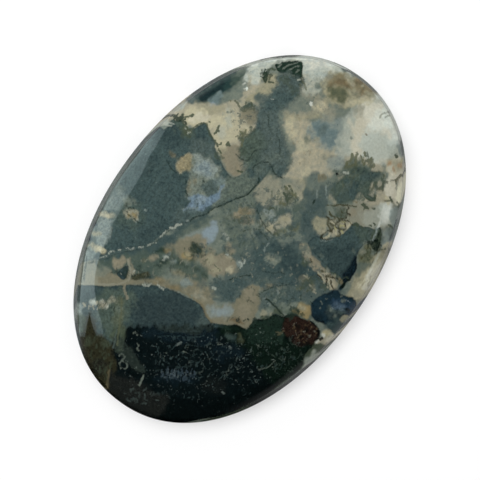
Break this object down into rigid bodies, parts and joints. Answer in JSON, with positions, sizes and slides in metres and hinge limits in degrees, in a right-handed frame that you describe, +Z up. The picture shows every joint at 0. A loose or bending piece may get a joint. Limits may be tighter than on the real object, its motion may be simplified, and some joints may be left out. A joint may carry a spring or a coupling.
{
  "type": "moss agate cabochon",
  "caption": "Oval polished stone with a low dome, a short leaning side and a flat back, for setting in a bezel or laying on a surface.",
  "frame": {"origin": "middle of the flat back, which is the middle of the stone's footprint", "axes": "+X along the oval towards the pale end, +Y across it, +Z up out of the dome"},
  "size_m": [0.04, 0.0272, 0.0056],
  "materials": {
    "moss_agate": "polished, milky grey and cream chalcedony with dark green moss inclusions"
  },
  "bodies": {
    "root": {"cabochon": "moss_agate"}
  },
  "joints": []
}
